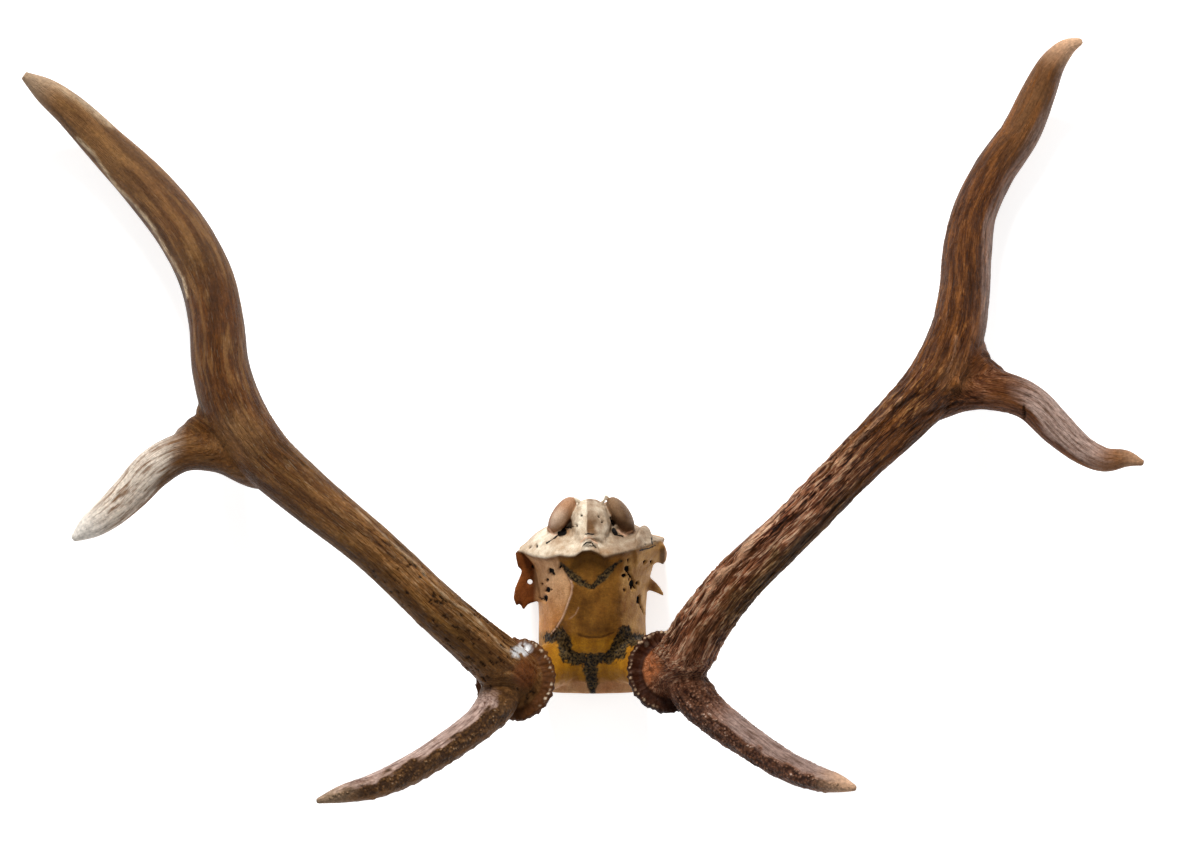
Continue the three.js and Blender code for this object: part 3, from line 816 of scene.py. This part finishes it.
def drawBone(mesh, spots, facing):
    # relief of the bone, and where each of its colours lies
    east, y, high = spots.T
    x = east - skullShape["middle"]
    up = facing[:, 2]
    outside = ease(up, -0.1, 0.25) * ease(high, 25, 45)
    wobble = cloudNoise(spots / 4.5, 301)
    ragged = cloudNoise(spots / 1.7, 302)
    gaps = {name: lineGap(spots, line) for name, line in boneLines.items()}
    # the sutures are bands of tangled grey bone
    broad = np.interp(east, [-22, -12, -4, 4, 24, 32, 42, 52], [4.2, 6.4, 5.4, 3.4, 3.4, 6.2, 7.6, 5.0])
    narrow = np.interp(y, [-259, -250, -232], [2.0, 3.6, 6.0])
    lower = np.interp(y, [-160, -156, -151, -145, -138], [1.0, 2.2, 3.0, 2.4, 0.5])
    seam, pits, crevice, knob = np.zeros((4, len(spots)))
    for name, wide, sway, jag, soft in (("coronal", broad, 1.8, 2.4, 1.4),
                                        ("midline", narrow, 1, 1.5, 1.5), ("lambda", lower, 1, 1, 1.2)):
        seam = np.maximum(seam, fade(gaps[name] + sway * wobble + jag * ragged, wide, wide + soft))
    seam *= outside * ease(-y, 128, 134)
    depth = seam * (0.55 * cloudNoise(spots / 1.9, 303) + 0.4 * cloudNoise(spots / 0.9, 304) - 0.3)
    for px, py, radius, stretch in bonePits:
        gap = np.hypot(east - px, (y - py) / stretch) + 0.8 * ragged
        pits = np.maximum(pits, fade(gap, radius * 0.55, radius * 1.15))
    for name in ("crack", "crack2"):
        pits = np.maximum(pits, 0.95 * fade(gaps[name] + 0.4 * ragged, 0.3, 1.1))
    pits *= outside
    line = fade(gaps["temporal"], 0.35, 1.15) * outside
    # the crease is darkened as painted shade
    crease = fade(gaps["crease"] + 0.3 * wobble, 0.3, 1.5) * outside
    scratch = fade(gaps["scratch"], 0.25, 0.8) * outside
    depth += 0.9 * line - 3.2 * pits - 0.5 * crease
    behind = y - crestLine(east)
    nuchal = ease(behind, -1.6, 0.2) * ease(high, 30, 40)
    rough = cloudNoise(spots / 5.5, 305) + 0.6 * cloudNoise(spots / 2.4, 306)
    depth += nuchal * 0.8 * rough * ease(high, 50, 66) * ease(behind, 1, 5)
    # shallow hollows each side of the neck ridge
    for hand in (-1, 1):
        depth -= 2.5 * np.exp(-((x - 25 * hand) / 10) ** 2 - ((y + 118) / 6) ** 2) * nuchal
    condyle = skullShape["condyle"]
    for cx in condyle["x"]:
        turn = Matrix.Rotation(math.copysign(condyle["splay"], cx - skullShape["middle"]), 3, "Z")
        away = (spots - (cx, condyle["y"], condyle["z"])) @ np.array(turn)
        inner = np.linalg.norm(away / condyle["axes"], axis=1)
        knob = np.maximum(knob, fade(np.abs(inner - 1), 0.04, 0.1))
    knob *= ease(high, 44, 52)
    depth *= 1 - 0.9 * knob
    depth += 0.25 * cloudNoise(spots / 9, 307) * (1 - knob)
    raised = spots + facing * depth[:, None]
    raised[:, 2] = np.maximum(raised[:, 2], 0)
    flatBase = high < 0.8
    raised[flatBase] = spots[flatBase]
    setPoints(mesh, raised)
    for wide, points in skullMarks["crevices"]:
        crevice = np.maximum(crevice, fade(lineGap(spots, points) + 0.5 * wobble, wide * 0.4, wide))
    crevice *= (1 - 0.8 * knob) * ease(up, -0.5, -0.1) * ease(high, 35, 45)
    for wide, points in skullMarks["edges"]:
        edge = fade(lineGap(spots, points), wide * 0.4, wide) * ease(up, -0.2, 0.2)
        line = np.maximum(line, edge * ease(high, 35, 45))
    # painted shade on the right side of the neck ridge; further on, a weaker painted shade on the right
    # half of the nuchal face
    patch = ease(east + 0.4 * wobble, 8.9, 10) * ease(y + 3 * wobble, -124, -110)
    patch *= 1 - 0.55 * ease(east + 4 * wobble, 13, 26)
    patch *= 1 - 0.3 * ease(y + 5 * wobble, -100, -92)
    # painted shadow on the bone just in front of the crest, where the crest overhangs
    eave = fade(0.8 * wobble - behind, 0.5, 5.5) * (1 - nuchal) * outside
    # the flap's curl: painted shade inside it, and a painted highlight along its outer rim
    curl = ease(-y, 122, 127) * ease(high, 40, 44)
    rim = ease(east, 79, 80) * curl
    curl = curl * ease(east, 74, 76) * (1 - rim)
    plate = ease(-east, 35, 40) * (y < -128) * (y > -187) * ease(-high, -57, -53)
    # sides, back and pedicles that the picture does not show are plain bone
    plain = np.maximum(fade(high + 3 * wobble, 26, 44), ease(np.abs(x), 47, 52) * (y < -205))
    leftEdge = np.interp(y, [-205, -187, -166, -157, -146, -135], [-24, -12, -4.5, -3.5, -9, -15])
    rightEdge = np.interp(y, [-200, -180, -160, -135], [41, 39, 38, 41])
    shine = fade(np.linalg.norm(spots - (-17, -100, 76), axis=1), 3, 15)
    keepValues(
        mesh, seam=seam, pits=np.maximum(pits, 0.9 * crevice), crease=crease, eave=np.maximum(eave, curl),
        # line: the pale temporal line and scratch, with painted highlights along the ledges and on the
        # curl's rim
        line=np.maximum(np.maximum(line, 0.45 * scratch), 0.7 * rim), nuchal=nuchal * (1 - knob),
        tan=np.maximum(patch, ease(x + 3 * wobble, 2, 26) * 0.6 * (y < -100)) * nuchal, plate=plate,
        plain=plain * (1 - plate) * fade(east, 60, 64),
        leftFlank=ease(leftEdge - east, 0, 3) * ease(y, -207, -198),
        rightFlank=ease(east - rightEdge + 1.5 * wobble, -1, 4) * ease(y, -212, -196),
        front=ease(-y, 198, 210),
        # under: bone that faces downwards gets a darker colour, painted shade
        brow=ease(-y + 2.5 * wobble, 242.5, 249), low=ease(-y, 160, 200), under=fade(up, -0.35, 0),
        # notch: painted shade in the hollow under the arch; glow: a warm orange painted shade on the
        # crest's underside
        notch=ease(y, -156, -142) * fade(np.abs(x + 1) + 0.4 * (y + 132), 12, 19) * (1 - nuchal),
        glow=ease(y, -150, -136) * fade(np.abs(x), 24, 34) * (1 - nuchal),
        knob=knob, rightKnob=knob * (x > 0), shine=shine * knob)


def newMaterial(name):
    material = bpy.data.materials.new(name)
    material.use_nodes = True
    tree = material.node_tree
    shader = next(n for n in tree.nodes if n.type == "BSDF_PRINCIPLED")
    return material, tree, shader


def value(tree, name):
    node = tree.nodes.new("ShaderNodeAttribute")
    node.attribute_name = name
    return node.outputs["Fac"]


def colour(hexCode):
    # screen colour to the linear colour that a shader reads
    parts = [int(hexCode[i:i + 2], 16) / 255 for i in (1, 3, 5)]
    return (*[p / 12.92 if p <= 0.04045 else ((p + 0.055) / 1.055) ** 2.4 for p in parts], 1)


def mixed(tree, share, first, second, how="MIX"):
    node = tree.nodes.new("ShaderNodeMix")
    node.data_type = "RGBA"
    node.blend_type = how
    for socket, given in ((node.inputs[0], share), (node.inputs[6], first), (node.inputs[7], second)):
        if isinstance(given, bpy.types.NodeSocket):
            tree.links.new(given, socket)
        elif isinstance(given, str):
            socket.default_value = colour(given)
        else:
            socket.default_value = given
    return node.outputs[2]


def noise(tree, vector, scale, detail=3, roughness=0.55):
    node = tree.nodes.new("ShaderNodeTexNoise")
    node.inputs["Scale"].default_value = scale
    node.inputs["Detail"].default_value = detail
    node.inputs["Roughness"].default_value = roughness
    tree.links.new(vector, node.inputs["Vector"])
    return node.outputs["Fac"]


def spread(tree, source, low, high, first=0.0, second=1.0):
    node = tree.nodes.new("ShaderNodeMapRange")
    tree.links.new(source, node.inputs["Value"])
    for name, number in (("From Min", low), ("From Max", high), ("To Min", first), ("To Max", second)):
        node.inputs[name].default_value = number
    return node.outputs["Result"]


def maths(tree, how, first, second):
    node = tree.nodes.new("ShaderNodeMath")
    node.operation = how
    for socket, given in zip(node.inputs, (first, second)):
        if isinstance(given, bpy.types.NodeSocket):
            tree.links.new(given, socket)
        else:
            socket.default_value = given
    return node.outputs[0]


def times(tree, first, second):
    return maths(tree, "MULTIPLY", first, second)


def plus(tree, first, second):
    return maths(tree, "ADD", first, second)


def over(tree, base, name, shade, most=1.0, low=0, high=1):
    # a colour laid over the base where the named value is high
    return mixed(tree, spread(tree, value(tree, name), low, high, 0, most), base, shade)


def ramp(tree, source, stops):
    node = tree.nodes.new("ShaderNodeValToRGB")
    while len(node.color_ramp.elements) < len(stops):
        node.color_ramp.elements.new(0.5)
    for element, (place, shade) in zip(node.color_ramp.elements, stops):
        element.position = place
        element.color = colour(shade)
    tree.links.new(source, node.inputs["Fac"])
    return node.outputs["Color"]


def bumped(tree, shader, height, distance, strength=1.0):
    node = tree.nodes.new("ShaderNodeBump")
    node.inputs["Distance"].default_value = distance
    node.inputs["Strength"].default_value = strength
    tree.links.new(height, node.inputs["Height"])
    tree.links.new(node.outputs["Normal"], shader.inputs["Normal"])


def objectPlace(tree):
    return tree.nodes.new("ShaderNodeTexCoord").outputs["Object"]


# antler colours; each ramp runs from grooves to crests, partly the antler's own tone, partly painted shade
# in the grooves and painted highlight on the crests
redLook = {
    "base": ("#1c0802", "#60301c", "#9c6140", "#dc9c78", "#ffd2ac"),
    "shade": ("#1a0d02", "#38200a", "#543614", "#805a30", "#bc966a"),
    "upper": ("#1e0b01", "#3e1e05", "#522b0a", "#7a481f", "#ac7844"),
    "patch": "#6c3a14", "patchShare": 0.35, "pale": ("#866858", "#c8aa9c"), "tip": "#e8ba94",
    "burr": "#2a0c00",
    "pearled": ("#2a1208", "#7c523a", "#f4d2bc"), "warm": "#dc8450", "bead": "#e4c09a", "dust": "#d8c4a8",
    "fibre": 0.16, "pearlSpread": (0.38, 0.62), "pearlLeast": 0.4, "fair": "#a4744a", "crest": "#e8b28a",
    "ridge": 0.76, "band": "#4a270b", "bandShare": 0.45, "streak": "#a4642c",
}
brownLook = {
    "base": ("#1c0d04", "#643e1a", "#8e6032", "#ac7e50", "#d4b48c"),
    "shade": ("#1b0c03", "#523210", "#744c1e", "#8e6634", "#ac8858"),
    "upper": ("#241001", "#482606", "#5c330c", "#74471a", "#986e3e"),
    "patch": "#4f3610", "patchShare": 0.4, "pale": ("#8e6e54", "#f2e2d0"), "tip": "#ac9074",
    "burr": "#5c3416",
    "pearled": ("#36200f", "#805a34", "#ffe4c8"), "warm": "#84481f", "bead": "#ecd6b8", "dust": "#ffffff",
    "fibre": 0.1, "pearlSpread": (0.44, 0.64), "pearlLeast": 0.25, "fair": "#a87c50", "crest": "#e4cba8",
    "ridge": 0.3, "band": "#42260f", "bandShare": 0.6, "streak": "#9c7040",
}


def antlerMaterial(name, look, stripeShades):
    material, tree, shader = newMaterial(name)
    node = tree.nodes.new("ShaderNodeAttribute")
    node.attribute_name = "grain"
    grain = node.outputs["Vector"]
    place = objectPlace(tree)
    fibres = noise(tree, grain, 0.42, 4, 0.6)
    hairs = noise(tree, grain, 1.5, 3, 0.6)
    blotch = noise(tree, place, 13, 3)
    grit = noise(tree, place, 330, 3)
    fibre = look["fibre"]
    relief = plus(tree, value(tree, "relief"), spread(tree, fibres, 0.3, 0.7, -fibre, fibre))
    relief = plus(tree, relief, spread(tree, hairs, 0.3, 0.7, -0.1, 0.1))

    def folds(scale, wide, first, second):
        # thin winding lines along the limb, where the noise passes its middle
        fold = maths(tree, "SUBTRACT", noise(tree, grain, scale, 3, 0.5), 0.5)
        return spread(tree, maths(tree, "ABSOLUTE", fold, 0), 0, wide, first, second)

    # fine crests between narrow grooves, for bumps and for colour: painted highlight on the crests and
    # painted shade in the grooves
    ridged = plus(tree, folds(0.36, 0.07, 0.85, -0.15), folds(0.25, 0.06, -0.55, 0))
    ridged = times(tree, times(tree, ridged, value(tree, "rough")), look["ridge"])
    relief = plus(tree, relief, ridged)
    places = (0.08, 0.3, 0.52, 0.78, 1.0)

    def shades(key):
        return ramp(tree, relief, tuple(zip(places, look[key])))

    base = over(tree, shades("base"), "shade", shades("shade"))
    base = over(tree, base, "upper", shades("upper"))
    base = mixed(tree, spread(tree, blotch, 0.45, 0.65, 0, look["patchShare"]), base, look["patch"])
    base = over(tree, base, "fair", look["fair"], 0.5)
    bands = noise(tree, grain, 0.1, 2)
    base = mixed(tree, spread(tree, bands, 0.45, 0.62, 0, look["bandShare"]), base, look["band"])
    longStreaks = spread(tree, noise(tree, grain, 0.16, 3), 0.5, 0.62, 0, 0.4)
    base = mixed(tree, times(tree, longStreaks, value(tree, "upper")), base, look["streak"])
    flecks = spread(tree, noise(tree, grain, 0.8, 2), 0.62, 0.7, 0, 0.15)
    base = mixed(tree, times(tree, flecks, value(tree, "rough")), base, look["crest"])
    # painted highlights along the raised crest lines
    patchy = spread(tree, hairs, 0.38, 0.58, 0.25, 0.85)
    base = mixed(tree, times(tree, value(tree, "crest"), patchy), base, look["crest"])
    base = over(tree, base, "warm", look["warm"], 0.75)
    # pearl pattern for bumps and colour: light middles as painted glints, dark gaps as painted shade
    cells = tree.nodes.new("ShaderNodeTexVoronoi")
    cells.inputs["Scale"].default_value = 340
    tree.links.new(place, cells.inputs["Vector"])
    uneven = spread(tree, noise(tree, place, 150, 1), *look["pearlSpread"], look["pearlLeast"], 1.1)
    pearls = times(tree, spread(tree, cells.outputs["Distance"], 0.15, 0.7, 1, 0), uneven)
    height = plus(tree, spread(tree, value(tree, "lump"), 0, 1, 0, 0.45),
                  spread(tree, pearls, 0, 1, 0, 0.6))
    lumps = ramp(tree, height, tuple(zip((0.05, 0.45, 0.95), look["pearled"])))
    streaks = mixed(tree, spread(tree, fibres, 0.36, 0.56), *look["pale"])
    band = mixed(tree, spread(tree, fibres, 0.34, 0.6), *stripeShades)
    # layers over the base; the pearls carry painted glints and painted shade, the pale sides are partly
    # painted light, and the bead and burr patch colours are painted highlights
    for name, shade, most, low, high in (
            ("pearled", lumps, 0.9, 0, 1), ("pale", streaks, 0.95, 0.1, 0.8),
            ("white", "#fff6ea", 1, 0, 1), ("stripe", band, 1, 0, 1),
            ("tipward", look["tip"], 0.85, 0, 1), ("burr", look["burr"], 0.9, 0.1, 0.8),
            ("bead", look["bead"], 1, 0, 1), ("dust", look["dust"], 1, 0, 1)):
        base = over(tree, base, name, shade, most, low, high)
    gritty = mixed(tree, spread(tree, grit, 0.3, 0.7), "#8c8c8c", "#ffffff")
    base = mixed(tree, 0.5, base, gritty, "MULTIPLY")
    tree.links.new(base, shader.inputs["Base Color"])
    tree.links.new(spread(tree, hairs, 0.3, 0.7, 0.34, 0.55), shader.inputs["Roughness"])
    shader.inputs["Specular IOR Level"].default_value = 0.1
    height = plus(tree, spread(tree, fibres, 0, 1, 0, 0.65), spread(tree, hairs, 0, 1, 0, 0.35))
    height = plus(tree, height, times(tree, pearls, value(tree, "pearled")))
    bumped(tree, shader, plus(tree, height, ridged), 0.0026, 1.0)
    return material


boneLook = {
    "roof": ("#603a0c", "#aa742c"), "front": ("#94600e", "#c28620"), "brow": ("#c48656", "#ecbe8c"),
    "seam": ("#160d06", "#67522f"), "nuchal": ("#ae8a64", "#fff6e0"), "tan": ("#4a3016", "#866038"),
    "knob": ("#845a3a", "#c29470"), "rightKnob": ("#604630", "#987858"), "shine": "#ffe8d0",
    "plate": ("#522406", "#9c5824"), "leftFlank": ("#ba8450", "#f0c090"),
    "leftLow": ("#c87e34", "#eca860"),
    "rightFlank": ("#9a6832", "#e2b26c"), "line": "#e8bc9c", "pit": "#080401", "crease": "#4c240c",
    "under": ("#5c3c1e", "#8a6840"), "plain": ("#84602e", "#b8904e"), "eave": "#3e220a",
    "notch": "#6a450e", "glow": "#a8701c",
}


def boneMaterial():
    material, tree, shader = newMaterial("old_bone")
    place = objectPlace(tree)
    cloud = spread(tree, noise(tree, place, 42, 5, 0.6), 0.3, 0.7)
    wide = spread(tree, noise(tree, place, 19, 3), 0.35, 0.65)
    fine = spread(tree, noise(tree, place, 330, 4, 0.65), 0.32, 0.68)
    grit = spread(tree, noise(tree, place, 900, 2), 0.3, 0.7)

    tangle = spread(tree, noise(tree, place, 420, 3, 0.6), 0.42, 0.62)
    ways = {"knob": wide, "rightKnob": wide, "seam": tangle}
    look = {name: mixed(tree, ways.get(name, cloud), *shades) if isinstance(shades, tuple) else shades
            for name, shades in boneLook.items()}
    look["leftFlank"] = mixed(tree, value(tree, "low"), look["leftFlank"], look["leftLow"])
    base = look["roof"]
    for name, most in (("glow", 0.6), ("notch", 0.85), ("front", 1), ("leftFlank", 1), ("rightFlank", 1),
                       ("brow", 0.9), ("plate", 1), ("plain", 1), ("nuchal", 1), ("tan", 1), ("knob", 1),
                       ("rightKnob", 1), ("shine", 0.5), ("under", 1), ("crease", 0.6), ("eave", 0.6),
                       ("line", 0.85), ("seam", 1)):
        base = over(tree, base, name, look[name], most)
    # near-black in the holes, cracks and crevices: painted shade
    base = over(tree, base, "pits", look["pit"], 1, 0.3, 0.7)
    stretch = tree.nodes.new("ShaderNodeMapping")
    stretch.inputs["Scale"].default_value = (1, 0.28, 0.6)
    tree.links.new(place, stretch.inputs["Vector"])
    streaks = spread(tree, noise(tree, stretch.outputs["Vector"], 170, 4, 0.6), 0.36, 0.64)
    mottled = mixed(tree, streaks, "#b89c80", "#ffffff")
    base = mixed(tree, 0.45, base, mottled, "MULTIPLY")
    base = mixed(tree, 0.35, base, mixed(tree, grit, "#8a8a8a", "#ffffff"), "MULTIPLY")
    tree.links.new(base, shader.inputs["Base Color"])
    tree.links.new(spread(tree, fine, 0, 1, 0.42, 0.65), shader.inputs["Roughness"])
    shader.inputs["Specular IOR Level"].default_value = 0.12
    bumped(tree, shader, fine, 0.0006, 0.6)
    return material


stage = {
    "photoMiddle": (21, -16),      # the point under the middle of the picture
    "cameraHeight": 2400,
    "lens": 78,
    "sensor": 36,
    "floorHalf": 30,               # metres
    "floorGrey": 0.9,
    "floorGlow": 0.65,             # the floor is a light table, so its shadows stay pale
    "worldStrength": 0.28,
    "lamps": (                     # name, place, strength, size
        ("key", (-0.3, 2.2, 1.6), 84, 0.6),
        ("left", (-2.5, 0.3, 1.7), 12, 1.6),
        ("right", (2.5, 0.3, 1.7), 10, 1.6),
        ("front", (0, -2.3, 1.9), 7, 1.6),
    ),
}


def buildStage():
    scene = bpy.context.scene
    bm = bmesh.new()
    bmesh.ops.create_grid(bm, x_segments=1, y_segments=1, size=stage["floorHalf"])
    mesh = bpy.data.meshes.new("floor")
    bm.to_mesh(mesh)
    bm.free()
    mesh.transform(Matrix.Translation((0, 0, -0.0004)))
    floor = bpy.data.objects.new("floor", mesh)
    scene.collection.objects.link(floor)
    material, tree, shader = newMaterial("pale_floor")
    grey = stage["floorGrey"]
    shader.inputs["Base Color"].default_value = (grey, grey, grey, 1)
    shader.inputs["Roughness"].default_value = 0.9
    shader.inputs["Emission Color"].default_value = (1, 1, 1, 1)
    shader.inputs["Emission Strength"].default_value = stage["floorGlow"]
    mesh.materials.append(material)
    world = bpy.data.worlds.new("studio")
    scene.world = world
    world.use_nodes = True
    back = next(n for n in world.node_tree.nodes if n.type == "BACKGROUND")
    back.inputs["Color"].default_value = (1, 1, 1, 1)
    back.inputs["Strength"].default_value = stage["worldStrength"]
    for name, spot, strength, size in stage["lamps"]:
        lamp = bpy.data.lights.new(name, "AREA")
        lamp.energy = strength
        lamp.size = size
        holder = bpy.data.objects.new(name, lamp)
        holder.location = spot
        holder.rotation_euler = (-Vector(spot)).to_track_quat("-Z", "Y").to_euler()
        scene.collection.objects.link(holder)
    lensBody = bpy.data.cameras.new("camera")
    lensBody.lens = stage["lens"]
    lensBody.sensor_width = stage["sensor"]
    lensBody.sensor_fit = "HORIZONTAL"
    lensBody.clip_end = 50
    camera = bpy.data.objects.new("camera", lensBody)
    x, y = stage["photoMiddle"]
    camera.location = (x * mm, y * mm, stage["cameraHeight"] * mm)
    scene.collection.objects.link(camera)
    scene.camera = camera
    scene.view_settings.view_transform = "Standard"
    print("stage done")


buildStage()
skull = buildSkull()
skull.data.materials.append(boneMaterial())
for antler, look, name in ((rightAntler, redLook, "red_antler_skin"),
                           (leftAntler, brownLook, "brown_antler_skin")):
    made = buildAntler(antler)
    made.data.materials.append(antlerMaterial(name, look, antler["stripe"]))
print("materials done")
